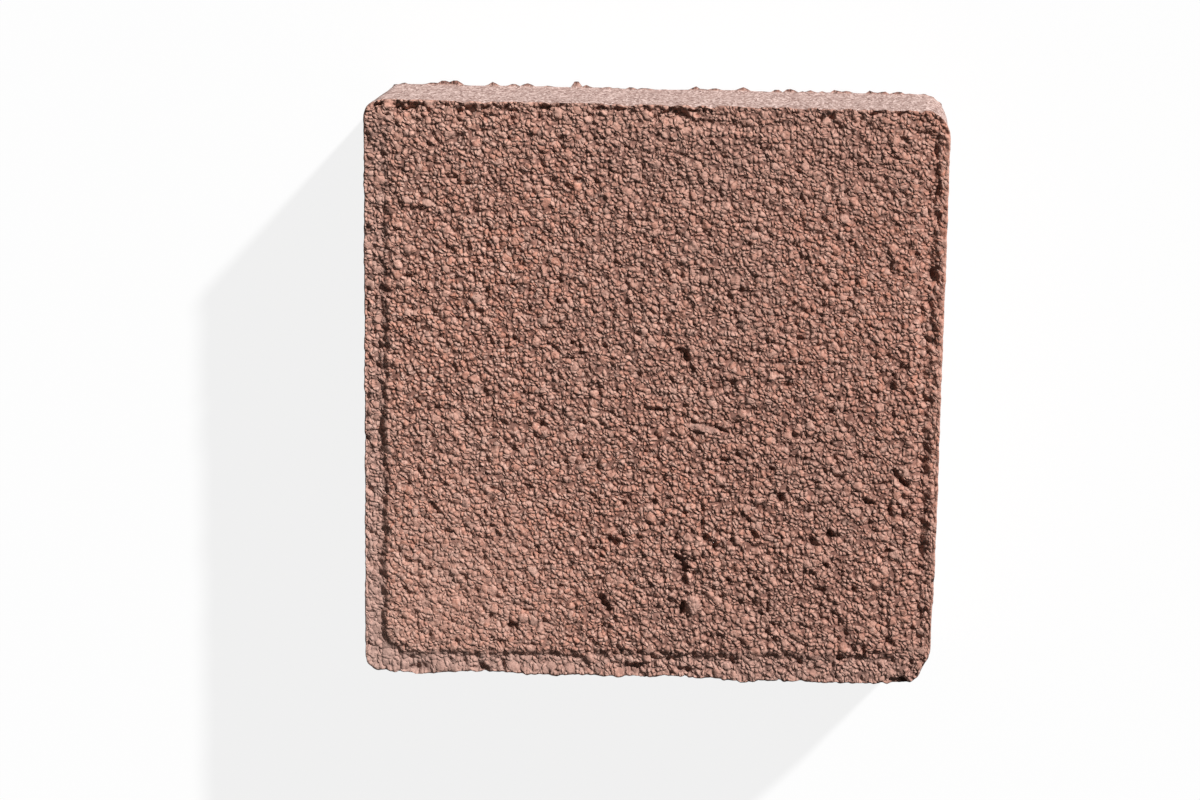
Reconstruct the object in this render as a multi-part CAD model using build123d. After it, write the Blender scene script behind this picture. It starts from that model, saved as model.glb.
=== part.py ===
from build123d import *
from math import sqrt
import os

# A square concrete paving stone: one block of pigmented, dry-cast concrete pressed in a steel mould.
# It lies on its bed face with its wearing face up. The origin is the centre of the bed face.
# Lengths are in millimetres and angles in degrees.

# The block as the mould shapes it
side_x = 200.0
side_y = 200.0
thickness = 60.0
corner_radius = 6.0
worn_corner_radius = 9.0
bed_edge_radius = 1.0

# The raised field of the wearing face, and the lower ledge that the press shoe leaves around it
ledge_width = 7.0
ledge_depth = 1.5
field_corner_radius = 9.0
field_edge_radius = 0.6
step_draft = 30.0

# The thin burr that squeezes up between the press shoe and the mould wall
burr_width = 1.6
burr_height = 1.1
burr_draft = 25.0

# The broken corner at +X, -Y: its runs along the two edges of the wearing face, and its drop below it
chip_run_x = 5.5
chip_run_y = 11.5
chip_drop = 45.0

# The voids in the wearing face, where the dry mix did not close: the size of a full one, then a row for each.
# A row has the void's place as shares of the half sides, its length, width and depth as shares of the full
# ones, and the turn of its length from +Y as a share of a right angle.
void_length = 14.0
void_width = 5.0
void_depth = 2.5
void_shares = [
    (0.107, 0.144, 0.60, 0.62, 0.72, 0.45),
    (0.114, -0.617, 0.72, 0.64, 0.80, 0.05),
    (0.117, -0.756, 0.46, 0.36, 0.60, -0.10),
    (0.181, -0.109, 1.00, 0.50, 0.50, 0.84),
    (0.625, -0.481, 0.43, 0.70, 0.90, -0.10),
    (0.559, -0.508, 0.33, 0.70, 0.70, 0.60),
    (0.387, -0.389, 0.28, 0.72, 0.66, 0.00),
    (0.369, -0.489, 0.26, 0.56, 0.60, 0.50),
    (0.598, -0.681, 0.31, 0.44, 0.60, 0.90),
    (0.756, -0.357, 0.36, 0.38, 0.56, 0.95),
    (0.864, -0.277, 0.45, 0.46, 0.60, 0.55),
    (0.227, -0.535, 0.22, 0.54, 0.60, 0.00),
    (0.955, 0.439, 0.45, 0.90, 0.80, -0.10),
    (-0.040, -0.970, 0.31, 0.90, 0.90, 0.05),
    (0.128, -0.972, 0.57, 0.56, 0.80, 1.00),
]

# Half width of an ellipsoid as a share of the width of its cap, cut half way between its centre and its pole
cap_share = 1 / sqrt(3)

ledge_level = thickness - ledge_depth
ledge_plane = Plane.XY.offset(ledge_level)
diagonal = Axis((0, 0, 0), (1, 1, 0))


def mould_plan():
    """The inside of the mould in plan: three tight corners, and one worn corner at +X, +Y."""
    plan = Rectangle(side_x, side_y)
    plan = fillet(plan.vertices().sort_by(diagonal)[:-1], corner_radius)
    return fillet(plan.vertices().sort_by(diagonal)[-1], worn_corner_radius)


def block():
    """The body from the bed face up to the ledge, with its lower edge rounded."""
    body = extrude(mould_plan(), ledge_level)
    return fillet(body.faces().sort_by(Axis.Z)[0].edges(), bed_edge_radius)


def raised_field():
    """The wearing field: a plate with drafted sides and a rounded upper edge."""
    plan = RectangleRounded(side_x - 2 * ledge_width, side_y - 2 * ledge_width, field_corner_radius)
    plate = extrude(ledge_plane * plan, ledge_depth, taper=step_draft)
    return fillet(plate.faces().sort_by(Axis.Z)[-1].edges(), field_edge_radius)


def burr():
    """The press burr: a rim flush with the sides, thinner at its crest than at its root."""
    rim = extrude(ledge_plane * mould_plan(), burr_height)
    shoe_plan = offset(mould_plan(), -burr_width)
    return rim - extrude(ledge_plane * shoe_plan, burr_height, taper=-burr_draft)


def break_plane():
    """The plane of the broken corner, through a point on each of the three edges that met there."""
    corner = Vector(side_x / 2, -side_y / 2, thickness)
    on_front = corner - Vector(chip_run_x, 0, 0)
    on_side = corner + Vector(0, chip_run_y, 0)
    on_upright = corner - Vector(0, 0, chip_drop)
    along = on_side - on_front
    return Plane(origin=on_front, x_dir=along, z_dir=along.cross(on_upright - on_front))


def void(x_share, y_share, length_share, width_share, depth_share, turn_share):
    """A hollow in the field, or in the ledge where it lies outside the field.

    It is the lower cap of an ellipsoid whose centre stands as high over the face as the cap reaches below it.
    """
    x = x_share * side_x / 2
    y = y_share * side_y / 2
    on_field = abs(x) < side_x / 2 - ledge_width and abs(y) < side_y / 2 - ledge_width
    level = thickness if on_field else ledge_level
    depth = depth_share * void_depth
    half_sizes = (width_share * void_width * cap_share, length_share * void_length * cap_share, 2 * depth)
    ellipsoid = scale(Rot(0, 90, 0) * Sphere(1), by=half_sizes)
    return Pos(x, y, level + depth) * Rot(0, 0, turn_share * 90) * ellipsoid


paving_stone = block() + raised_field() + burr()
paving_stone = paving_stone - [void(*shares) for shares in void_shares]
paving_stone = split(paving_stone, bisect_by=break_plane(), keep=Keep.TOP)

os.makedirs("parts", exist_ok=True)
export_step(paving_stone, "parts/paving_stone.step")
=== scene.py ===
import math

import bpy
import numpy as np
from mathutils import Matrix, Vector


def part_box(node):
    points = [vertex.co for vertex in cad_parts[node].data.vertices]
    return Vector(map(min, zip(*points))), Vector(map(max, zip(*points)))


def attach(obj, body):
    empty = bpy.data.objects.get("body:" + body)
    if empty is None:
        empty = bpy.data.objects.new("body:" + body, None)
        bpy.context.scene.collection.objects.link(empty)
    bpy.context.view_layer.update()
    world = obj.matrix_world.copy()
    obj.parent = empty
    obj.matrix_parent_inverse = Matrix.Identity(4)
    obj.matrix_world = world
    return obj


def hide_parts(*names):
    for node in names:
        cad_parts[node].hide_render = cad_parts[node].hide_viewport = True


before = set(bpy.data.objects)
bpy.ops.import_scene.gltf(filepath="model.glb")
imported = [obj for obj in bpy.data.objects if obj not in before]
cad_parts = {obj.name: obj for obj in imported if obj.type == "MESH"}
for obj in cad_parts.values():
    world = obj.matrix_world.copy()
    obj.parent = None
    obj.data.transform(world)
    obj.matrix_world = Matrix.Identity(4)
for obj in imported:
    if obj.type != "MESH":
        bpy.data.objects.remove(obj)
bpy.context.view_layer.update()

# The paving stone
# One block of red-brown pigmented concrete, pressed as a dry mix in a steel mould and struck on a flat board.
# The press shoe leaves a raised granular field inside a lower ledge, with a ragged burr at the mould wall.

# Lengths are in metres, but the lists of hand-placed features and of noises hold millimetres.
MM = 0.001
LOW, HIGH = (np.array(corner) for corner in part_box("paving_stone"))
HALF = (HIGH[0] - LOW[0]) / 2
TOP = HIGH[2]
TIGHT_CORNER = 6.0 * MM
WORN_CORNER = 9.0 * MM


def graded_line(cells, border, border_cells):
    """Places from -half to +half: short even steps inside each border, longer even steps between them."""
    edge = np.linspace(0, border, border_cells + 1)
    middle = np.linspace(border, 2 * HALF - border, cells - 2 * border_cells + 1)
    return np.concatenate([edge[:-1], middle, 2 * HALF - edge[-2::-1]]) - HALF


def corner_radius(x, y):
    """The plan radius of the corner in the place's quarter: the worn one at +X +Y, else the tight one."""
    return np.where((x > 0) & (y > 0), WORN_CORNER, TIGHT_CORNER)


def round_corners(x, y):
    """Squeezes each corner of the square into a quarter disc.

    In a corner's square of side r, the place (u, v), both from 0 to 1, goes to
    (u sqrt(1 - v v / 2), v sqrt(1 - u u / 2)) times r, and all other places stay.
    """
    r = corner_radius(x, y)
    u = np.clip((np.abs(x) - HALF + r) / r, 0, 1)
    v = np.clip((np.abs(y) - HALF + r) / r, 0, 1)
    across = np.minimum(np.abs(x), HALF - r) + r * u * np.sqrt(1 - v * v / 2)
    along = np.minimum(np.abs(y), HALF - r) + r * v * np.sqrt(1 - u * u / 2)
    return np.sign(x) * across, np.sign(y) * along


def inside_distance(x, y, inset_low, inset_high, radius):
    """Distance inwards from a rounded rectangle: the mould square drawn in by an inset at each side.

    It is the radius, less the length of the part of the place's overhang past the corner centres that is
    positive, plus how far the place lies inside both pairs of sides where there is no overhang.
    """
    centre = (np.array(inset_low) - np.array(inset_high)) / 2
    half = HALF - (np.array(inset_low) + np.array(inset_high)) / 2
    over_x = np.abs(x - centre[0]) - half[0] + radius
    over_y = np.abs(y - centre[1]) - half[1] + radius
    outside = np.hypot(np.maximum(over_x, 0), np.maximum(over_y, 0))
    return radius - outside - np.minimum(np.maximum(over_x, over_y), 0)


def wall_distance(x, y):
    """Distance inwards from the mould wall."""
    return inside_distance(x, y, (0, 0), (0, 0), corner_radius(x, y))


def smooth_step(low, high, value):
    """Goes from 0 at low to 1 at high as 3 t t - 2 t t t."""
    t = np.clip((value - low) / (high - low), 0, 1)
    return t * t * (3 - 2 * t)


def between(first, second, share):
    """Goes from the first to the second in a straight line as the share goes from 0 to 1."""
    return first + (second - first) * share


def bell(x, y, centre_x, centre_y, reach):
    """A bell curve of the distance from a centre: e to the power of minus its square in reaches."""
    return np.exp(-((x - centre_x) ** 2 + (y - centre_y) ** 2) / reach ** 2)


LATTICE = 512


def soft_noise(x, y, pitch, seed):
    """Value noise from -1 to 1: random values on a square lattice, blended by a smooth step between them."""
    table = np.random.default_rng(seed).uniform(-1, 1, (LATTICE, LATTICE))
    gx, gy = x / pitch + LATTICE / 2, y / pitch + LATTICE / 2
    i, j = np.floor(gx).astype(int), np.floor(gy).astype(int)
    u, v = smooth_step(0, 1, gx - i), smooth_step(0, 1, gy - j)
    i0, j0, i1, j1 = i % LATTICE, j % LATTICE, (i + 1) % LATTICE, (j + 1) % LATTICE
    near = table[i0, j0] * (1 - u) + table[i1, j0] * u
    far = table[i0, j1] * (1 - u) + table[i1, j1] * u
    return near * (1 - v) + far * v


def layered_noise(x, y, layers):
    """The sum of soft noises, each layer given by its strength, its pitch in millimetres and its seed."""
    return sum(strength * soft_noise(x, y, pitch * MM, seed) for strength, pitch, seed in layers)


STIR_START = 0xDEADBEEF + 13
STIR_KEY_STEP = 4
STIR_TURNS = (14, 11, 25, 16, 4, 14, 24)
WORD_BITS = 32
WORD_MOST = 0xFFFFFFFF


def cell_random(*keys):
    """A random number from 0 to 1 for each cell of a lattice, the same as the material's cell texture gives.

    The bits of the cell's two or three numbers, as single floats, start three words. In turn each word is
    crossed with the one changed before it, and that one, with its bits turned round, is taken away.
    """
    wide = [np.broadcast_to(key, keys[0].shape) for key in keys]
    bits = [np.ascontiguousarray(key, np.float32).view(np.uint32) for key in wide]
    start = np.uint32(STIR_START + STIR_KEY_STEP * len(keys))
    third = bits[2] if len(keys) > 2 else np.zeros_like(bits[0])
    word, changed, waiting = start + third, start + bits[1], start + bits[0]
    for turn in STIR_TURNS:
        turned = (changed << np.uint32(turn)) | (changed >> np.uint32(WORD_BITS - turn))
        word = (word ^ changed) - turned
        word, changed, waiting = waiting, word, changed
    return changed / WORD_MOST


def nearest_grains(x, y, pitch):
    """The two nearest points of a jittered lattice to each place.

    Each is the way from the point to the place in X and Y, in pitches, and the point's two random numbers.
    Each lattice cell has one point, and the nine cells round the place are tried.
    """
    gx, gy = x / pitch, y / pitch
    i, j = np.floor(gx), np.floor(gy)
    first = second = np.full((4, *x.shape), np.inf)
    for step_i in (-1, 0, 1):
        for step_j in (-1, 0, 1):
            a, b = i + step_i, j + step_j
            own, level = cell_random(a, b), cell_random(a, b, 1.0)
            grain = np.stack([gx - a - own, gy - b - level, own, level])
            distance = np.hypot(*grain[:2])
            nearest = distance < np.hypot(*first[:2])
            next_nearest = distance < np.hypot(*second[:2])
            second = np.where(nearest, first, np.where(next_nearest, grain, second))
            first = np.where(nearest, grain, first)
    return first, second


# Grains of three sizes. Pitch, levels (how far their tops differ in height) and flat (the half width of the
# flat top) are in millimetres. Present is the share of the cells that hold a grain, steep is how far a flank
# has fallen 1 mm past the top's edge, and lean is how far the tops slope.
GRAIN_SIZES = (
    {"pitch": 1.35, "present": 0.95, "levels": 0.6, "flat": 0.05, "steep": 1.4, "lean": 0.6},
    {"pitch": 2.1, "present": 0.5, "levels": 0.5, "flat": 0.2, "steep": 0.8, "lean": 0.6},
    {"pitch": 3.4, "present": 0.12, "levels": 0.3, "flat": 0.5, "steep": 0.45, "lean": 0.4},
)
LEAN_DRAW = 17.0
PASTE_DEPTH = 1.0


def top_lean(own):
    """A second random number from a grain's first: the fraction of a multiple of it, less a half."""
    return own * LEAN_DRAW % 1 - 0.5


def grain_surface(grain, pitch, present, levels, flat, steep, lean):
    """Height of a grain in millimetres, or of the paste where the cell holds no grain.

    A grain is a flat top at its own random level and lean, with flanks that fall by the square of the
    distance past the top's edge.
    """
    way_x, way_y, own, level = grain
    fall = steep * np.maximum(pitch * np.hypot(way_x, way_y) - flat, 0) ** 2
    slant = lean * pitch * (way_x * top_lean(own) + way_y * top_lean(level))
    return np.where(own < present, slant - levels * level - fall, -PASTE_DEPTH)


def granular_relief(x, y):
    """Height of the granular surface over the press plane: the highest grain's, or the level paste's."""
    height = np.full(x.shape, -PASTE_DEPTH)
    for size in GRAIN_SIZES:
        for grain in nearest_grains(x / MM, y / MM, size["pitch"]):
            height = np.maximum(height, grain_surface(grain, **size))
    return height * MM


BURR_SIDE_BLEND = 10.0 * MM
CORNER_BLEND = 6.0 * MM


def burr_side(x, y):
    """1 along the +X and +Y sides, where the shoe left a strong burr, else 0, by a smooth step of x + y."""
    return smooth_step(-BURR_SIDE_BLEND, BURR_SIDE_BLEND, x + y)


def right_side(x, y):
    """1 along the +X side and 0 along the others, by a smooth step of x less the size of y."""
    return smooth_step(-CORNER_BLEND, CORNER_BLEND, x - np.abs(y))


FIELD_INSET_LOW = (7.5 * MM, 7.6 * MM)
FIELD_INSET_HIGH = (7.2 * MM, 6.9 * MM)
FIELD_CORNER = 9.0 * MM
FRONT_SKEW = 0.02
FIELD_EDGE_NOISE = ((0.4, 2.6, 41), (0.3, 8.0, 42))
SHORT_STEP = 1.6 * MM
WIDE_STEP = 2.5 * MM


def field_share(x, y):
    """1 on the raised field and 0 on the ledge, by a smooth step across its outline, made ragged by noise.

    The step is short along -X and -Y, and wide along +X and +Y, where the shoe tilted.
    """
    y = y - FRONT_SKEW * x * smooth_step(0, -HALF, y)
    inside = inside_distance(x, y, FIELD_INSET_LOW, FIELD_INSET_HIGH, FIELD_CORNER)
    inside = inside + MM * layered_noise(x, y, FIELD_EDGE_NOISE)
    half_step = between(SHORT_STEP, WIDE_STEP, burr_side(x, y))
    return smooth_step(-half_step, half_step, inside)


# The burr at the mould wall and the trench torn inside it. Values in pairs are for the +Y and the +X side.
RIM_TEAR_NOISE = ((1.0, 6.5, 43), (0.6, 2.8, 44))
FACE_TEAR_PITCH = 1.7 * MM
FACE_TEARS = (0.9, 0.3)
TEAR_GAINS = (0.0, 0.35)
TEAR_START, TEAR_FULL = -0.1, 0.6
BURR_WIDTHS = (1.4 * MM, 5.4 * MM)
CREST_SHARE = 0.35
CREST_LEAST = 0.1 * MM
CREST_RISE = 0.32 * MM
RAGGED_PITCH = 1.3 * MM
TRENCH_DEPTHS = (1.5 * MM, 0.9 * MM)
TRENCH_STARTS = (0.4, 0.65)
TRENCH_FULLS = (1.4, 0.95)
TRENCH_RAGGED = 0.6 * MM
TRENCH_WIDTH = 3.0 * MM
TRENCH_WANDER = 1.8 * MM
WANDER_PITCH = 2.2 * MM
TRENCH_EDGE = 1.2 * MM
GAP_NOISE = ((1.0, 3.2, 58), (0.7, 1.5, 60))
GAP_START, GAP_END = -0.5, 0.4


def rim_relief(x, y):
    """The burr less the trench, both strong along +X and +Y only and only where noise has torn the rim.

    The burr falls by a smooth step from its ragged crest at the wall to nothing at its width. The trench
    starts at a share of that width and ends at a wandering line farther in, and noise breaks it along +Y.
    """
    wall = wall_distance(x, y)
    strong, right = burr_side(x, y), right_side(x, y)
    along = y - x
    tears = layered_noise(along, 0 * along, RIM_TEAR_NOISE)
    tears = tears + between(*FACE_TEARS, right) * soft_noise(x, y, FACE_TEAR_PITCH, seed=45)
    torn = strong * smooth_step(TEAR_START, TEAR_FULL, tears + between(*TEAR_GAINS, right))
    ragged = soft_noise(x, y, RAGGED_PITCH, seed=57)
    width = between(*BURR_WIDTHS, right)
    crest = CREST_LEAST + CREST_RISE * torn * (1 + ragged)
    burr = crest * smooth_step(width, CREST_SHARE * width, wall)

    gaps = smooth_step(GAP_START, GAP_END, layered_noise(x, y, GAP_NOISE))
    start, full = between(*TRENCH_STARTS, right) * width, between(*TRENCH_FULLS, right) * width
    inner = width + TRENCH_WIDTH + TRENCH_WANDER * soft_noise(x, y, WANDER_PITCH, seed=50)
    trench = between(*TRENCH_DEPTHS, right) * torn * between(gaps, 1, right)
    trench = trench * smooth_step(start, full, wall + TRENCH_RAGGED * ragged)
    trench = trench * smooth_step(inner + TRENCH_EDGE, inner - TRENCH_EDGE, wall)
    return burr - trench


LEDGE_DROP = 1.75 * MM
BURR_SIDE_LOSS = 0.65
FRONT_LOSSES = (0.2, 0.35)
FRONT_LOSS_START, FRONT_LOSS_END = -20.0 * MM, 60.0 * MM
LEFT_LOSS = 0.5
LEFT_LOSS_START, LEFT_LOSS_END = 10.0 * MM, 60.0 * MM
DEEP_CORNER_GAIN = 0.1
DEEP_CORNER_REACH = 22.0 * MM
DROP_MEAN, DROP_SPREAD = 0.9, 0.2
DROP_PITCH = 11.0 * MM


def ledge_drop(x, y):
    """How far the ledge lies below the press plane: the full drop times shares for its place and for noise.

    It is less along +X and +Y, along the front and more so towards +X, and along the upper left, and it is
    a little more at the -X -Y corner.
    """
    front = smooth_step(-CORNER_BLEND, CORNER_BLEND, -y - np.abs(x))
    front = front * between(*FRONT_LOSSES, smooth_step(FRONT_LOSS_START, FRONT_LOSS_END, x))
    left = smooth_step(LEFT_LOSS_START, LEFT_LOSS_END, np.minimum(y, -x))
    corner = bell(x, y, -HALF, -HALF, DEEP_CORNER_REACH)
    drop = LEDGE_DROP * (1 - BURR_SIDE_LOSS * burr_side(x, y) - front)
    drop = drop * (1 - LEFT_LOSS * left + DEEP_CORNER_GAIN * corner)
    return drop * (DROP_MEAN + DROP_SPREAD * soft_noise(x, y, DROP_PITCH, seed=49))


WAVE_HEIGHT = 0.25 * MM
WAVE_PITCH = 28.0 * MM
LUMP_HEIGHT = 0.75 * MM
LUMP_NOISE = ((1.0, 2.3, 47), (0.5, 1.3, 48))
LUMP_CUT = 0.1


def face_waves(x, y):
    """Slow waves of the whole face, and lumps of a few grains: noise with its peaks cut off level."""
    lumps = np.minimum(layered_noise(x, y, LUMP_NOISE), LUMP_CUT)
    return WAVE_HEIGHT * soft_noise(x, y, WAVE_PITCH, seed=46) + LUMP_HEIGHT * lumps


PRESS_RISE = 0.3 * MM
GROOVE_DEPTH = 0.6 * MM
GROOVE_PITCH = 4.5 * MM
GROOVE_START, GROOVE_FULL = -0.3, 0.5


def press_height(x, y, share):
    """Height of the pressed face under its grains.

    It is the press plane, less the ledge's drop outside the field, less a broken groove along +X and +Y that
    is deepest half way down the field's step, plus the relief of the rim and the waves of the face.
    """
    groove = smooth_step(GROOVE_START, GROOVE_FULL, soft_noise(x, y, GROOVE_PITCH, seed=63))
    groove = 4 * share * (1 - share) * groove * burr_side(x, y)
    height = TOP + PRESS_RISE - ledge_drop(x, y) * (1 - share) - GROOVE_DEPTH * groove
    return height + rim_relief(x, y) + face_waves(x, y)


def ellipse_distance(x, y, centre_x, centre_y, half_width, half_length, turn):
    """The squared distance from an ellipse's centre, counted in half widths and half lengths.

    The ellipse is given in millimetres, and its turn from +Y in radians.
    """
    way_x, way_y = x - centre_x * MM, y - centre_y * MM
    across = way_x * math.cos(turn) + way_y * math.sin(turn)
    along = way_y * math.cos(turn) - way_x * math.sin(turn)
    return (across / (half_width * MM)) ** 2 + (along / (half_length * MM)) ** 2


# Voids that show in the wearing face: place, half width, half length and turn in plan, and depth.
VOIDS = (
    (10.7, 14.4, 1.4, 3.8, 0.75, 1.6),
    (11.4, -61.7, 2.0, 5.5, 0.08, 2.0),
    (11.7, -75.6, 0.9, 3.2, -0.15, 1.6),
    (18.1, -11.2, 1.9, 6.6, 1.4, 0.6),
    (24.1, -11.6, 0.7, 2.3, 1.03, 1.3),
    (2.1, -5.4, 0.6, 5.2, 1.53, 1.2),
    (-5.0, 6.0, 0.9, 1.8, 0.2, 1.2),
    (18.2, -43.7, 0.5, 6.5, 0.04, 1.0),
    (62.5, -48.1, 1.3, 3.0, -0.15, 1.9),
    (55.9, -50.8, 1.3, 2.0, 0.95, 1.4),
    (38.7, -38.9, 1.8, 2.0, 0.0, 1.6),
    (36.9, -48.9, 1.4, 1.8, 0.8, 1.5),
    (59.8, -68.1, 1.1, 2.1, 1.4, 1.5),
    (75.6, -35.7, 0.9, 2.5, 1.5, 1.4),
    (86.4, -27.7, 1.1, 3.1, 0.86, 1.5),
    (22.7, -53.5, 1.3, 1.5, 0.0, 1.5),
    (19.5, -50.4, 1.0, 1.8, 0.3, 1.4),
    (29.3, -50.9, 1.0, 0.8, 0.0, 1.2),
    (39.2, -76.6, 0.9, 0.9, 0.0, 1.1),
    (61.7, -58.8, 0.9, 1.3, 0.0, 1.4),
    (67.3, -62.2, 0.9, 1.3, 0.0, 1.4),
    (82.6, -38.7, 1.0, 1.6, 0.0, 1.5),
    (82.3, -53.6, 1.2, 1.4, 0.6, 1.5),
    (65.7, -27.9, 1.2, 1.3, 0.0, 1.1),
    (44.9, -35.5, 1.0, 1.3, 0.6, 1.3),
    (45.2, -65.0, 1.0, 0.9, 0.0, 1.2),
    (53.6, -40.2, 0.7, 2.6, 1.57, 1.1),
    (27.5, -64.8, 1.0, 0.9, 0.0, 1.2),
    (75.3, -89.1, 1.0, 1.9, 0.1, 1.5),
    (67.0, -91.1, 1.0, 1.5, 0.0, 1.4),
    (93.9, -84.2, 0.9, 1.1, 0.0, 1.4),
    (82.1, 60.1, 1.2, 1.6, 0.3, 1.4),
    (-4.0, -98.0, 3.4, 2.0, 0.0, 1.6),
    (12.8, -97.6, 0.9, 4.0, 1.57, 1.3),
    (88.5, -99.6, 4.6, 1.3, 0.0, 2.0),
    (-58.0, -99.2, 4.5, 1.0, 0.0, 1.1),
    (-81.5, -98.9, 3.0, 1.0, 0.0, 1.3),
    (-14.9, -74.9, 1.1, 4.2, 0.58, 1.5),
    (-12.4, -52.6, 0.9, 3.4, 0.67, 1.3),
    (-47.7, -83.5, 1.5, 1.9, 0.0, 1.4),
    (-75.8, -41.7, 0.8, 2.6, 0.7, 1.3),
    (-57.5, -43.6, 1.1, 1.5, 0.0, 1.2),
    (95.5, 43.9, 2.0, 3.1, -0.1, 1.6),
    (95.6, 85.4, 1.1, 2.8, 0.0, 1.0),
    (95.1, 78.6, 1.2, 1.8, 0.0, 0.9),
    (95.6, 72.4, 1.0, 1.8, 0.0, 0.9),
    (95.9, 64.2, 1.3, 2.0, 0.0, 1.0),
    (-29.0, 37.6, 0.9, 2.4, 0.0, 1.2),
    (-33.0, 31.5, 0.9, 1.0, 0.0, 1.2),
    (-42.7, 28.8, 0.8, 1.1, 0.0, 1.1),
    (-47.7, 18.2, 0.9, 1.0, 0.0, 1.1),
    (-27.7, 17.3, 0.8, 1.0, 0.0, 1.2),
    (-35.8, 5.6, 0.9, 1.0, 0.0, 1.1),
    (-17.4, 23.1, 0.8, 1.0, 0.0, 1.1),
)
VOID_EDGE_NOISE = ((0.8, 1.2, 31), (0.6, 2.4, 32))
VOID_EDGE_LEAST = 0.3


def void_depth(x, y):
    """Depth of the voids: each is a bowl, its depth times the root of 1 - e.

    e is the squared distance from its centre in half widths and half lengths, made ragged by noise.
    """
    edge = np.maximum(1 + layered_noise(x, y, VOID_EDGE_NOISE), VOID_EDGE_LEAST)
    total = np.zeros(x.shape)
    for *ellipse, depth in VOIDS:
        e = edge * ellipse_distance(x, y, *ellipse)
        total = np.maximum(total, depth * MM * np.sqrt(np.maximum(1 - e, 0)))
    return total


CLOSE_END, OPEN_END = -0.5, 0.7
OPEN_SPREAD = 0.25
OPEN_PITCH = 30.0 * MM


def pitted(x, y):
    """From 0, a close even surface, to 1, an open and pitted one.

    It is a smooth step along the diagonal towards +X and -Y, moved to and fro by noise.
    """
    diagonal = (x - y) / HALF / 2 + OPEN_SPREAD * soft_noise(x, y, OPEN_PITCH, seed=51)
    return smooth_step(CLOSE_END, OPEN_END, diagonal)


PIT_DEPTH = 0.9 * MM
PIT_NOISE = ((0.6, 4.2, 52), (0.5, 2.3, 53))
PIT_THRESHOLD = 0.65
PIT_OPEN_GAIN = 0.2
PIT_RAMP = 0.35


def pit_depth(x, y):
    """Depth of the small pits where grains have torn out.

    They are the peaks of noise over a threshold that falls where the surface is more open.
    """
    peaks = layered_noise(x, y, PIT_NOISE) - PIT_THRESHOLD + PIT_OPEN_GAIN * pitted(x, y)
    return PIT_DEPTH * smooth_step(0, PIT_RAMP, peaks)


# Patches where the face is closer or more open than elsewhere: place, reach, and by how much.
PATCHES = (
    (-74.0, -78.0, 42.0, -0.36),
    (80.0, 70.0, 45.0, -0.1),
    (25.0, -35.0, 40.0, 0.08),
)


def grain_strength(x, y):
    """Height of the grains against the full one: 1, changed round each patch by a bell curve."""
    strength = np.ones(x.shape)
    for place_x, place_y, reach, change in PATCHES:
        strength = strength + change * bell(x, y, place_x * MM, place_y * MM, reach * MM)
    return strength


# Places scraped smooth: place, half width, half length and turn in plan, rise, and how smooth they are.
SCRAPES = (
    (17.6, -11.6, 1.3, 5.8, 1.4, 0.2, 0.85),
    (15.5, -73.9, 2.8, 3.3, 0.0, 0.6, 0.75),
)
SCRAPE_START, SCRAPE_END = 1.3, 0.6
SCRAPE_RAGGED = 0.3
SCRAPE_PITCH = 1.5 * MM


def scraped(x, y):
    """Height and smoothness of the scraped places: each is an ellipse with a soft edge, ragged by noise."""
    rise, smooth = np.zeros(x.shape), np.zeros(x.shape)
    ragged = SCRAPE_RAGGED * soft_noise(x, y, SCRAPE_PITCH, seed=59)
    for *ellipse, up, smoothness in SCRAPES:
        inside = smooth_step(SCRAPE_START, SCRAPE_END, ellipse_distance(x, y, *ellipse) + ragged)
        rise = rise + up * MM * inside
        smooth = np.maximum(smooth, smoothness * inside)
    return rise, smooth


WORN_REACH = 70.0 * MM
LEDGE_PALE = 0.2
CORNER_PALE = 0.55


def worn_ledge(x, y, share):
    """How pale the ledge is and how far it is smeared smooth, along -X and -Y only.

    Both are greatest at the -X -Y corner and fade from it by a bell curve, to a little paleness and none.
    """
    corner = bell(x, y, -HALF, -HALF, WORN_REACH)
    ledge = (1 - share) * (1 - burr_side(x, y))
    return ledge * between(LEDGE_PALE, CORNER_PALE, corner), ledge * corner


SHIFT_REACH = 0.6 * MM
SHIFT_PITCH = 1.9 * MM


def grain_shift(x, y, seed):
    """How far the pattern of the grains is pushed sideways by noise, so that no two grains are alike."""
    return SHIFT_REACH * soft_noise(x, y, SHIFT_PITCH, seed)


# The grid of the wearing face, and what is stored with it. Pairs are for the +Y and the +X side.
FACE_CELLS = 296
BORDER_WIDTH = 9.0 * MM
BORDER_CELLS = 18
SMOOTH_WIDTHS = (2.5 * MM, 4.5 * MM)
SMOOTH_SHARES = (0.05, 0.7)
SCRAPE_PALE = 0.35
LEDGE_GRAIN = 0.95
WORN_LOSS = 0.4
line = graded_line(FACE_CELLS, BORDER_WIDTH, BORDER_CELLS)
face_x, face_y = round_corners(*np.meshgrid(line, line, indexing="ij"))
face_field = field_share(face_x, face_y)
face_wall = wall_distance(face_x, face_y)
face_right = right_side(face_x, face_y)
face_depth = void_depth(face_x, face_y) + pit_depth(face_x, face_y)
face_smooth = between(*SMOOTH_SHARES, face_right) * burr_side(face_x, face_y)
face_smooth = face_smooth * smooth_step(between(*SMOOTH_WIDTHS, face_right), 0, face_wall)
scrape_rise, scrape_skin = scraped(face_x, face_y)
ledge_skin, ledge_worn = worn_ledge(face_x, face_y, face_field)
face_skin = np.maximum(SCRAPE_PALE * scrape_skin, ledge_skin)
face_grain = grain_strength(face_x, face_y) * between(LEDGE_GRAIN, 1, face_field) * (1 - face_smooth)
face_grain = face_grain * (1 - scrape_skin) * (1 - WORN_LOSS * ledge_worn)
face_base = press_height(face_x, face_y, face_field) - face_depth + scrape_rise

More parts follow.
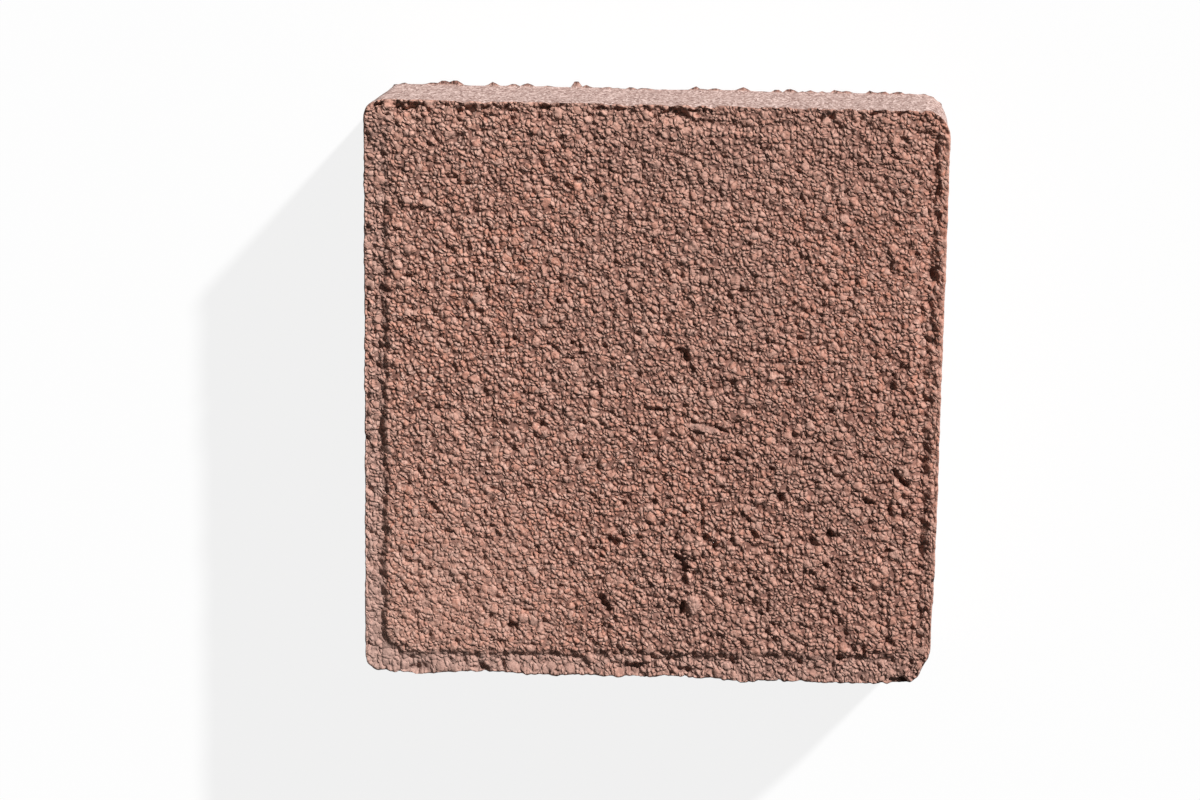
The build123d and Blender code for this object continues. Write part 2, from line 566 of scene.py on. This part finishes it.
# The relief at a point of the grid is the mean of four places round it, so that the crevices stay even.
SAMPLE_STEP = 0.16 * MM
RELIEF_GAIN = 1.1
shift_x, shift_y = grain_shift(face_x, face_y, seed=54), grain_shift(face_x, face_y, seed=56)
grain_x, grain_y = face_x + shift_x, face_y + shift_y
samples = [(SAMPLE_STEP * a, SAMPLE_STEP * b) for a, b in ((-1, -1), (1, -1), (1, 1), (-1, 1))]
face_relief = sum(granular_relief(grain_x + a, grain_y + b) for a, b in samples) / len(samples)
face_z = face_base + RELIEF_GAIN * face_grain * face_relief

TINY = 1e-12


def wall_normal(x, y):
    """The mould wall's outward direction in plan at the wall place nearest to a place near the wall.

    It is the way from the place, held inside the corner centres, to the place itself, made unit length, and
    zero farther in than the corner radius.
    """
    r = corner_radius(x, y)
    way_x = x - np.clip(x, r - HALF, HALF - r)
    way_y = y - np.clip(y, r - HALF, HALF - r)
    length = np.maximum(np.hypot(way_x, way_y), TINY)
    return way_x / length, way_y / length


# How far the arris stands out from the mould square along three of its sides: place along it, and reach.
FRONT_REACH = (
    (-100.0, 1.3), (-75.0, 1.6), (-57.0, 0.7), (-40.0, 1.2), (-12.0, 1.0), (0.0, 0.4), (11.0, -0.2),
    (22.0, 0.8), (34.0, 1.3), (48.0, 0.7), (58.0, 1.0), (75.0, 0.5), (90.0, 0.1),
)
LEFT_REACH = ((-95.0, -0.75), (-60.0, -0.7), (-20.0, -0.4), (20.0, -0.1), (60.0, 0.15), (95.0, 0.4))
RIGHT_REACH = (
    (-80.0, -1.2), (-65.0, -0.8), (-40.0, -0.5), (0.0, -0.5), (40.0, -0.2), (60.0, 0.0), (90.0, -0.1),
)
ARRIS_NOISE = ((0.5, 1.5, 82), (0.5, 4.5, 83))
NOTCH_NOISE = ARRIS_NOISE + ((0.5, 2.6, 84),)
NOTCH_DEPTH = 1.1 * MM
SIDE_RAGGED = 0.3 * MM
FRONT_RAGGED = 0.9 * MM
ARRIS_WIDTH = 3.0 * MM


def side_reach(along, places):
    """The reach at each place along a side, on straight lines between the listed ones."""
    return MM * np.interp(along / MM, *zip(*places))


def arris_reach(x, y, out_x, out_y):
    """How far the arris stands out from the mould wall, or in from it, as a slow and a ragged part.

    The slow part is the listed reaches, each side's weighed by the square of the wall's direction. The
    ragged part is noise, full along -Y and weak along -X and +X. Along +Y it is notches, the peaks of noise.
    """
    front, back = np.maximum(-out_y, 0) ** 2, np.maximum(out_y, 0) ** 2
    left, right = np.maximum(-out_x, 0) ** 2, np.maximum(out_x, 0) ** 2
    slow = front * side_reach(x, FRONT_REACH) + left * side_reach(y, LEFT_REACH)
    slow = slow + right * side_reach(y, RIGHT_REACH)
    ragged = between(SIDE_RAGGED, FRONT_RAGGED, front) * (1 - back) * layered_noise(x, y, ARRIS_NOISE)
    notches = NOTCH_DEPTH * np.maximum(layered_noise(x, y, NOTCH_NOISE), 0)
    return slow, ragged - back * notches


out_x, out_y = wall_normal(face_x, face_y)
fade = smooth_step(ARRIS_WIDTH, 0, face_wall)
slow_push, ragged_push = (fade * push for push in arris_reach(face_x, face_y, out_x, out_y))
mould_x, mould_y = face_x, face_y
push_x, push_y = (slow_push + ragged_push) * out_x, (slow_push + ragged_push) * out_y
face_x, face_y = face_x + push_x, face_y + push_y

# The rim of the grid as one loop, and every second point of it for the rings of the side below.
face_number = np.arange(face_x.size).reshape(face_x.shape)
rim_sides = [face_number[:-1, 0], face_number[-1, :-1], face_number[:0:-1, -1], face_number[0, :0:-1]]
rim = np.concatenate(rim_sides)
rim_x, rim_y, rim_z = mould_x.ravel()[rim], mould_y.ravel()[rim], face_z.ravel()[rim]
rim_slow, rim_ragged = slow_push.ravel()[rim], ragged_push.ravel()[rim]
half_x, half_y = rim_x[::2], rim_y[::2]


def wall_places(x, y, level, outward):
    """A ring of the side: the loop's plan places pushed out along the wall's normal, at their levels."""
    normal_x, normal_y = wall_normal(x, y)
    return np.stack([x + outward * normal_x, y + outward * normal_y, level], 1)


def run_along(x, y):
    """Distance run along a loop from its first point, for noise on the sides."""
    return np.cumsum(np.hypot(x - np.roll(x, 1), y - np.roll(y, 1)))


# Crumbs that stick to the bed edge on the +Y side: place along X, half width and reach.
CRUMBS = (
    (-79.0, 2.4, 1.6),
    (-75.0, 2.6, 1.8),
    (-61.5, 1.6, 1.4),
    (-54.0, 1.3, 0.9),
    (-49.0, 1.8, 1.1),
    (-31.5, 1.3, 2.6),
    (-28.0, 1.5, 1.0),
    (-12.0, 1.2, 0.8),
    (11.0, 1.4, 1.3),
    (18.0, 1.8, 0.7),
    (28.0, 1.7, 1.3),
    (40.0, 2.0, 0.9),
    (44.5, 2.2, 1.2),
    (52.0, 1.3, 0.9),
    (60.5, 1.6, 1.0),
    (64.0, 1.2, 0.8),
    (73.0, 1.4, 1.2),
    (78.0, 1.6, 0.9),
    (83.0, 2.2, 0.8),
)
CRUMB_LEVEL = 1.3 * MM
CRUMB_HALF_HEIGHT = 1.7 * MM
LOOSE_NOISE = ((1.0, 1.7, 61), (0.6, 4.5, 62))
LOOSE_THRESHOLD = 0.25
LOOSE_REACH = 0.9 * MM
LOOSE_TOP, LOOSE_FULL = 3.6 * MM, 1.4 * MM


def crumb_reach(x, y, run, level):
    """How far the crumbs at the bed edge stand out.

    All round they are the peaks of noise, which fade out above the bed. On the +Y side each listed one
    is a cap, its reach times the root of 1 - e, where e is the squared distance in half widths and heights.
    """
    loose = np.maximum(layered_noise(run, level, LOOSE_NOISE) - LOOSE_THRESHOLD, 0)
    reach = LOOSE_REACH * loose * smooth_step(LOOSE_TOP, LOOSE_FULL, level)
    for centre, half_width, out in CRUMBS:
        e = ((x - centre * MM) / (half_width * MM)) ** 2 + ((level - CRUMB_LEVEL) / CRUMB_HALF_HEIGHT) ** 2
        cap = out * MM * np.sqrt(np.maximum(1 - e, 0))
        reach = np.maximum(reach, np.where(y > HALF - TIGHT_CORNER, cap, 0))
    return reach


WALL_NOISE = ((0.16, 12.0, 71), (0.05, 3.0, 72))


def wall_wave(run, level):
    """How far the side waves in and out, as slow noise over the run and the height."""
    return MM * layered_noise(run, level, WALL_NOISE)


# The rings of the side, from the shoulder under the arris down to the bed edge, and then those of the bed,
# as shares of the outline. The ragged and the slow part of the arris each fade out at a depth of their own.
SHOULDER_DROP = 0.7 * MM
SIDE_LEVELS = np.array([57.0, 55.0, 51.0, 38.0, 24.0, 13.0, 7.5, 5.0, 3.8, 2.8, 2.0, 1.2, 0.5]) * MM
RAGGED_DEPTH = 7.0 * MM
LEAN_DEPTH = 50.0 * MM
BED_EDGE = 0.8 * MM
BED_SHARES = (0.96, 0.86, 0.7, 0.5, 0.28)
BED_HOLLOW = 0.3 * MM
BED_PITCH = 9.0 * MM
half_run = run_along(half_x, half_y)
shoulder = rim_z - SHOULDER_DROP
shoulder_push = rim_slow + rim_ragged + wall_wave(run_along(rim_x, rim_y), shoulder)
rings = [wall_places(rim_x, rim_y, shoulder, shoulder_push)]
crumbs = [np.zeros(len(rim))]
for level in SIDE_LEVELS:
    height = np.full(half_x.shape, level)
    crumbs.append(crumb_reach(half_x, half_y, half_run, height))
    below = rim_ragged[::2] * smooth_step(RAGGED_DEPTH, 0, TOP - height)
    below = below + rim_slow[::2] * smooth_step(LEAN_DEPTH, 0, TOP - height)
    rings.append(wall_places(half_x, half_y, height, wall_wave(half_run, height) + crumbs[-1] + below))
rings.append(wall_places(half_x, half_y, 0 * half_x, np.full(half_x.shape, -BED_EDGE)))
for share in BED_SHARES:
    x, y = half_x[::2] * share, half_y[::2] * share
    rings.append(np.stack([x, y, BED_HOLLOW * np.maximum(soft_noise(x, y, BED_PITCH, seed=81), 0)], 1))
rings.append(np.zeros((1, 3)))

# The two planes of the broken corner: their runs along X and Y from the upper corner, and their drop.
BREAKS = ((7.3, 14.7, 48.0), (9.1, 7.6, 44.0))
BREAK_ROUGH = 0.6 * MM
BREAK_PITCH = 2.6 * MM


def break_off(points):
    """Moves what lies past each plane of the broken corner back to it, level and square to the plane in plan.

    Noise over the side makes the broken faces rough.
    """
    corner = np.array([HALF, -HALF, TOP])
    rough = BREAK_ROUGH * soft_noise(points[:, 1], points[:, 2], BREAK_PITCH, seed=91)
    for run_x, run_y, drop in BREAKS:
        normal = np.array([1 / run_x, -1 / run_y, 1 / drop]) / MM
        level = np.array([normal[0], normal[1], 0])
        level = level / (level @ normal)
        past = (points - corner) @ normal + 1 + rough * np.linalg.norm(normal)
        points = points - np.maximum(past, 0)[:, None] * level
    return points


# The places of all vertices, with the grains and without them
face_places = [np.stack([face_x, face_y, z], 2).reshape(-1, 3) for z in (face_z, face_base)]
vertices, pressed = (break_off(np.concatenate([places] + rings)) for places in face_places)


def grid_triangles(numbers):
    """Two triangles for each cell of the grid, split along the diagonal that is nearer to level."""
    a, b, c, d = numbers[:-1, :-1], numbers[1:, :-1], numbers[1:, 1:], numbers[:-1, 1:]
    a, b, c, d = (n.ravel() for n in (a, b, c, d))
    z = vertices[:, 2]
    main = (np.abs(z[a] - z[c]) <= np.abs(z[b] - z[d]))[:, None]
    first = np.where(main, np.stack([a, b, c], 1), np.stack([a, b, d], 1))
    second = np.where(main, np.stack([a, c, d], 1), np.stack([b, c, d], 1))
    return np.concatenate([first, second])


def ring_triangles(upper, lower):
    """Triangles between two rings, the upper first.

    There are two a step, or three for two steps where the lower ring has half as many points, or one a step
    where it is a single point.
    """
    upper_next, lower_next = np.roll(upper, -1), np.roll(lower, -1)
    if len(lower) == len(upper):
        steps = [(upper, lower, lower_next), (upper, lower_next, upper_next)]
    elif len(lower) > 1:
        a, b, c = upper[0::2], upper[1::2], np.roll(upper, -2)[0::2]
        steps = [(a, lower, b), (b, lower, lower_next), (b, lower_next, c)]
    else:
        steps = [(upper, np.broadcast_to(lower, upper.shape), upper_next)]
    return np.concatenate([np.stack(step, 1) for step in steps])


ring_ends = face_x.size + np.cumsum([len(ring) for ring in rings])
loops = [rim] + [np.arange(end - len(ring), end) for ring, end in zip(rings, ring_ends)]
triangles = [grid_triangles(face_number)] + [ring_triangles(*pair) for pair in zip(loops[:-1], loops[1:])]
triangles = np.concatenate(triangles)


def vertex_normals(points):
    """At each point the sum of the normals of the triangles round it, weighed by area, made unit length."""
    a, b, c = (points[triangles[:, k]] for k in range(3))
    areas = np.cross(b - a, c - a)
    total = np.zeros(points.shape)
    for axis in range(3):
        sums = [np.bincount(triangles[:, k], areas[:, axis], len(points)) for k in range(3)]
        total[:, axis] = sum(sums)
    return total / np.maximum(np.linalg.norm(total, axis=1, keepdims=True), TINY)


mesh = bpy.data.meshes.new("paving_stone")
mesh.vertices.add(len(vertices))
mesh.vertices.foreach_set("co", vertices.astype(np.float32).ravel())
mesh.loops.add(triangles.size)
mesh.loops.foreach_set("vertex_index", triangles.astype(np.int32).ravel())
mesh.polygons.add(len(triangles))
mesh.polygons.foreach_set("loop_start", np.arange(0, triangles.size, 3, dtype=np.int32))
mesh.polygons.foreach_set("use_smooth", np.ones(len(triangles), dtype=bool))
mesh.update(calc_edges=True)

# The grains' own slopes come from the material, so the mesh is shaded by the pressed face under them.
mesh.normals_split_custom_set_from_vertices(vertex_normals(pressed))

# What the material reads from the mesh: how far cement skin covers a place, how far the grains stand open
# there, how hollow it is, where a crumb counts up to 2, and how far the grains' pattern is pushed.
CRUMB_SHOWS = 0.3 * MM
CRUMB_OPEN = 0.95
CRUMB_HOLLOW = 2.0
FULL_HOLLOW = 1.6 * MM
crumb_share = np.zeros(len(vertices) - face_x.size)
crumb_ends = np.concatenate(crumbs)
crumb_share[:len(crumb_ends)] = np.clip(crumb_ends / CRUMB_SHOWS, 0, 1)
face_hollow = np.clip(face_depth / FULL_HOLLOW, 0, 1)
stored = {
    "mould_skin": (face_skin, 1 - CRUMB_OPEN * crumb_share),
    "open_grain": (face_grain, CRUMB_OPEN * crumb_share),
    "hollow": (face_hollow, CRUMB_HOLLOW * crumb_share),
}
for name, (on_face, on_sides) in stored.items():
    values = np.concatenate([on_face.ravel(), on_sides]).astype(np.float32)
    mesh.attributes.new(name, "FLOAT", "POINT").data.foreach_set("value", values)
shift = np.zeros((len(vertices), 3), np.float32)
shift[:face_x.size, 0] = (shift_x - push_x).ravel()
shift[:face_x.size, 1] = (shift_y - push_y).ravel()
mesh.attributes.new("shift", "FLOAT_VECTOR", "POINT").data.foreach_set("vector", shift.ravel())

concrete = bpy.data.materials.new("red_brown_concrete")
concrete.use_nodes = True
tree = concrete.node_tree
tree.nodes.clear()


def add_node(kind, inputs=None, **settings):
    """Adds a node to the tree in hand, sets its properties, then sets or links its named inputs."""
    node = tree.nodes.new(kind)
    for key, value in settings.items():
        setattr(node, key, value)
    for key, value in (inputs or {}).items():
        if isinstance(value, bpy.types.NodeSocket):
            tree.links.new(value, node.inputs[key])
        else:
            node.inputs[key].default_value = value
    return node


DISPLAY_MOST = 255
CURVE_KNEE, CURVE_SLOPE = 0.04045, 12.92
CURVE_OFFSET, CURVE_POWER = 0.055, 2.4


def colour(red, green, blue):
    """A display colour from 0 to 255 as the linear colour of a shader.

    By the display curve, a share is divided by a slope below the knee, and raised to a power above it.
    """
    share = np.array([red, green, blue]) / DISPLAY_MOST
    raised = ((share + CURVE_OFFSET) / (1 + CURVE_OFFSET)) ** CURVE_POWER
    return (*np.where(share <= CURVE_KNEE, share / CURVE_SLOPE, raised), 1.0)


def attribute(name, output="Fac"):
    """A value stored on the mesh."""
    return add_node("ShaderNodeAttribute", attribute_name=name).outputs[output]


MIX_FIRST, MIX_SECOND, MIX_RESULT = 6, 7, 2


def blend(factor, first, second):
    """A colour mix of the first and the second by the factor."""
    inputs = {"Factor": factor, MIX_FIRST: first, MIX_SECOND: second}
    return add_node("ShaderNodeMix", inputs, data_type="RGBA").outputs[MIX_RESULT]


def ramp(value, start, end, at_start=0.0, at_end=1.0):
    """Goes in a straight line from one value at the start to another at the end, and is held outside."""
    inputs = {"Value": value, "From Min": start, "From Max": end, "To Min": at_start, "To Max": at_end}
    return add_node("ShaderNodeMapRange", inputs).outputs["Result"]


def calculate(operation, *values):
    """A Math node."""
    return add_node("ShaderNodeMath", dict(enumerate(values)), operation=operation).outputs["Value"]


def calculate_vector(operation, *values, output="Vector"):
    """A Vector Math node."""
    inputs = dict(enumerate(values))
    return add_node("ShaderNodeVectorMath", inputs, operation=operation).outputs[output]


place = add_node("ShaderNodeTexCoord").outputs["Object"]


def noise_at(per_metre, detail=2.0, roughness=0.5, output="Fac"):
    """Noise over the object's own coordinates."""
    inputs = {"Vector": place, "Scale": per_metre, "Detail": detail, "Roughness": roughness}
    return add_node("ShaderNodeTexNoise", inputs).outputs[output]


def shaded_lean(own):
    """The second random number of a grain, by the formula of top_lean."""
    return calculate("SUBTRACT", calculate("FRACT", calculate("MULTIPLY", own, LEAN_DRAW)), 0.5)


def grain_layer(where, feature, pitch, present, levels, flat, steep, lean):
    """Height and tint of the nearest or next nearest grain of one size, by the formula of grain_surface."""
    inputs = {"Vector": where, "Scale": 1 / (pitch * MM)}
    cells = add_node("ShaderNodeTexVoronoi", inputs, voronoi_dimensions="2D", feature=feature).outputs
    own = add_node("ShaderNodeSeparateColor", {"Color": cells["Color"]}).outputs
    way = calculate_vector("SUBTRACT", where, cells["Position"])
    slope_inputs = {"X": shaded_lean(own["Red"]), "Y": shaded_lean(own["Green"])}
    slope = add_node("ShaderNodeCombineXYZ", slope_inputs).outputs["Vector"]
    slant = calculate_vector("DOT_PRODUCT", way, slope, output="Value")
    top = calculate("MULTIPLY_ADD", slant, lean / MM, calculate("MULTIPLY", own["Green"], -levels))
    past = calculate("MAXIMUM", calculate("MULTIPLY_ADD", cells["Distance"], pitch, -flat), 0.0)
    height = calculate("MULTIPLY_ADD", calculate("MULTIPLY", past, past), -steep, top)
    missing = calculate("GREATER_THAN", own["Red"], present)
    return calculate("MULTIPLY_ADD", missing, -2 * PASTE_DEPTH, height), own["Blue"]


# The grains' pattern: pushed as the mesh is, and once more by fine noise
WARP_REACH = 0.4 * MM
skin_mask = attribute("mould_skin")
warp = noise_at(per_metre=1100.0, detail=1.0, output="Color")
warp = calculate_vector("SUBTRACT", warp, (0.5, 0.5, 0.5))
warp = calculate_vector("MULTIPLY_ADD", warp, (WARP_REACH,) * 3, attribute("shift", "Vector"))
warped = calculate_vector("ADD", place, warp)
relief, tint = -PASTE_DEPTH, 0.5
for size in GRAIN_SIZES:
    for feature in ("F1", "F2"):
        layer, layer_tint = grain_layer(warped, feature, **size)
        tint_inputs = {"Factor": calculate("GREATER_THAN", layer, relief), "A": tint, "B": layer_tint}
        tint = add_node("ShaderNodeMix", tint_inputs).outputs["Result"]
        relief = calculate("MAXIMUM", relief, layer)
grain_height = calculate("MULTIPLY", relief, attribute("open_grain"))

# The colour of the open face: each grain's own tint, pale drifts, dark mottling, fine specks, a darker +X
# side, painted highlight on the grain tops, painted shade in the crevices (partly the darker paste there),
# painted shade in the hollows, and darker crumbs
drift = noise_at(per_metre=14.0, detail=3.0)
mottle = noise_at(per_metre=160.0, detail=3.0)
speck = noise_at(per_metre=1000.0, roughness=0.6)
across = add_node("ShaderNodeSeparateXYZ", {"Vector": place}).outputs["X"]
deep = attribute("hollow")
hollow_shade_and_crumb_colour = colour(90, 56, 48)
body = blend(tint, colour(191, 130, 108), colour(203, 164, 149))
body = blend(ramp(drift, start=0.35, end=0.65, at_end=0.6), body, colour(182, 145, 131))
body = blend(ramp(mottle, start=0.3, end=0.7, at_end=0.35), body, colour(164, 116, 101))
body = blend(ramp(speck, start=0.52, end=0.7, at_end=0.7), body, colour(212, 170, 153))
body = blend(ramp(speck, start=0.48, end=0.3, at_end=0.7), body, colour(128, 84, 72))
body = blend(ramp(across, start=-HALF, end=HALF, at_end=0.2), body, colour(150, 99, 86))
# Painted highlight: the grain tops are made paler than the rest of the grains.
body = blend(ramp(relief, start=-0.4, end=0.05, at_end=0.05), body, colour(216, 172, 154))
# Painted shade in the crevices between grains, partly the darker paste there.
body = blend(ramp(grain_height, start=-0.58, end=-1.0, at_end=0.5), body, colour(64, 22, 18))
# Painted shade in the voids and pits, by their depth; the same dark colour also darkens the crumbs.
body = blend(ramp(deep, start=0.1, end=0.9, at_end=0.5), body, hollow_shade_and_crumb_colour)
body = blend(ramp(deep, start=1.0, end=2.0, at_end=0.6), body, hollow_shade_and_crumb_colour)

# The colour of the sides: mottled cement skin with dark and pale specks, which the mould drew out upright as
# it was lifted off, and small pits darkened with painted shade. Where the skin is thin, as on the scraped
# places, it is plain.
DRAWN_OUT = (1.0, 1.0, 0.3)
drawn = add_node("ShaderNodeMapping", {"Vector": place, "Scale": DRAWN_OUT}).outputs["Vector"]
drag = add_node("ShaderNodeTexVoronoi", {"Vector": drawn, "Scale": 1500.0}).outputs["Color"]
drag = add_node("ShaderNodeSeparateColor", {"Color": drag}).outputs["Red"]
side_pits = ramp(noise_at(per_metre=420.0), start=0.64, end=0.7)
smooth = blend(ramp(mottle, start=0.3, end=0.7), colour(146, 119, 111), colour(171, 146, 138))
smooth = blend(ramp(drag, start=0.4, end=0.0, at_end=0.9), smooth, colour(110, 82, 74))
smooth = blend(ramp(drag, start=0.6, end=1.0, at_end=0.9), smooth, colour(204, 180, 172))
# Painted shade: the small pits of the sides are darkened in colour.
smooth = blend(side_pits, smooth, colour(104, 74, 66))
smooth = blend(ramp(skin_mask, start=0.9, end=0.65), smooth, colour(180, 151, 141))

# The relief that is finer than the mesh: the grains' slopes, and on them the grit, weaker on the sides and
# sunk at their pits
GRAIN_BUMP = 1.2 * MM
GRIT_BUMP = 0.2 * MM
PIT_SINK = 1.5
grain_inputs = {"Height": grain_height, "Strength": 1.0, "Distance": GRAIN_BUMP}
grain_normal = add_node("ShaderNodeBump", grain_inputs).outputs["Normal"]
grit = noise_at(per_metre=1600.0, detail=3.0, roughness=0.6)
grit = calculate("MULTIPLY", grit, ramp(skin_mask, start=0.0, end=1.0, at_start=1.0, at_end=0.6))
pit_share = calculate("MULTIPLY", side_pits, ramp(skin_mask, start=0.65, end=0.9))
grit = calculate("MULTIPLY_ADD", pit_share, -PIT_SINK, grit)
grit_inputs = {"Height": grit, "Strength": 1.0, "Distance": GRIT_BUMP, "Normal": grain_normal}
shader_inputs = {
    "Base Color": blend(skin_mask, body, smooth),
    "Roughness": 0.92,
    "Specular IOR Level": 0.25,
    "Normal": add_node("ShaderNodeBump", grit_inputs).outputs["Normal"],
}
shader = add_node("ShaderNodeBsdfPrincipled", shader_inputs)
add_node("ShaderNodeOutputMaterial", {"Surface": shader.outputs["BSDF"]})

stone = bpy.data.objects.new("paving_stone_cast", mesh)
bpy.context.scene.collection.objects.link(stone)
mesh.materials.append(concrete)
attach(stone, "root")
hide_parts("paving_stone")

# The floor
# A plain pale studio floor under the stone, painted matt.
# To the camera it is nearly white, and it keeps the stone's shadow.

FLOOR_HALF = 6.0
FLOOR_PAINT = (0.9, 0.9, 0.9, 1)
WHITE = (1, 1, 1, 1)
WHITE_SHARE = 0.86
floor_mesh = bpy.data.meshes.new("floor")
floor_corners = [(FLOOR_HALF * a, FLOOR_HALF * b, 0) for a, b in ((-1, -1), (1, -1), (1, 1), (-1, 1))]
floor_mesh.from_pydata(floor_corners, [], [(0, 1, 2, 3)])
floor = bpy.data.objects.new("floor", floor_mesh)
bpy.context.scene.collection.objects.link(floor)
floor_paint = bpy.data.materials.new("floor_paint")
floor_paint.use_nodes = True
tree = floor_paint.node_tree
tree.nodes.clear()
paint = add_node("ShaderNodeBsdfDiffuse", {"Color": FLOOR_PAINT}).outputs["BSDF"]
white = add_node("ShaderNodeEmission", {"Color": WHITE, "Strength": 1.0}).outputs["Emission"]
seen = calculate("MULTIPLY", add_node("ShaderNodeLightPath").outputs["Is Camera Ray"], WHITE_SHARE)
mixed = add_node("ShaderNodeMixShader", {"Fac": seen, 1: paint, 2: white})
add_node("ShaderNodeOutputMaterial", {"Surface": mixed.outputs["Shader"]})
floor_mesh.materials.append(floor_paint)

# The light
# One sun-like key from the right and behind, low enough to model the grains.
# An even pale fill comes from all round, and the camera sees a white backdrop.

KEY_AZIMUTH = math.radians(48)
KEY_ELEVATION = math.radians(30)
KEY_SPREAD = math.radians(3)
KEY_STRENGTH = 5.65
FILL_STRENGTH = 0.1
key = bpy.data.lights.new("key", "SUN")
key.energy = KEY_STRENGTH
key.angle = KEY_SPREAD
key_object = bpy.data.objects.new("key", key)
bpy.context.scene.collection.objects.link(key_object)
key_object.rotation_euler = (0, math.pi / 2 - KEY_ELEVATION, KEY_AZIMUTH)

world = bpy.data.worlds.new("studio")
bpy.context.scene.world = world
world.use_nodes = True
tree = world.node_tree
tree.nodes.clear()
fill = add_node("ShaderNodeBackground", {"Color": WHITE, "Strength": FILL_STRENGTH}).outputs["Background"]
backdrop = add_node("ShaderNodeBackground", {"Color": WHITE, "Strength": 1.0}).outputs["Background"]
seen = add_node("ShaderNodeLightPath").outputs["Is Camera Ray"]
mixed = add_node("ShaderNodeMixShader", {"Fac": seen, 1: fill, 2: backdrop})
add_node("ShaderNodeOutputWorld", {"Surface": mixed.outputs["Shader"]})

# The camera
# It looks almost straight down on the wearing face, a little from the +Y side.
# It stands far off behind a long lens.

SENSOR_WIDTH = 36.0
LENS = 107.87
CAMERA_PLACE = (0.0602, 0.2170, 1.2801)
CAMERA_TURN = (math.radians(-10.119), math.radians(3.803), math.radians(0.841))
camera = bpy.data.cameras.new("camera")
camera.sensor_width = SENSOR_WIDTH
camera.lens = LENS
camera_object = bpy.data.objects.new("camera", camera)
bpy.context.scene.collection.objects.link(camera_object)
camera_object.location = CAMERA_PLACE
camera_object.rotation_euler = CAMERA_TURN
bpy.context.scene.camera = camera_object
bpy.context.scene.view_settings.view_transform = "Standard"
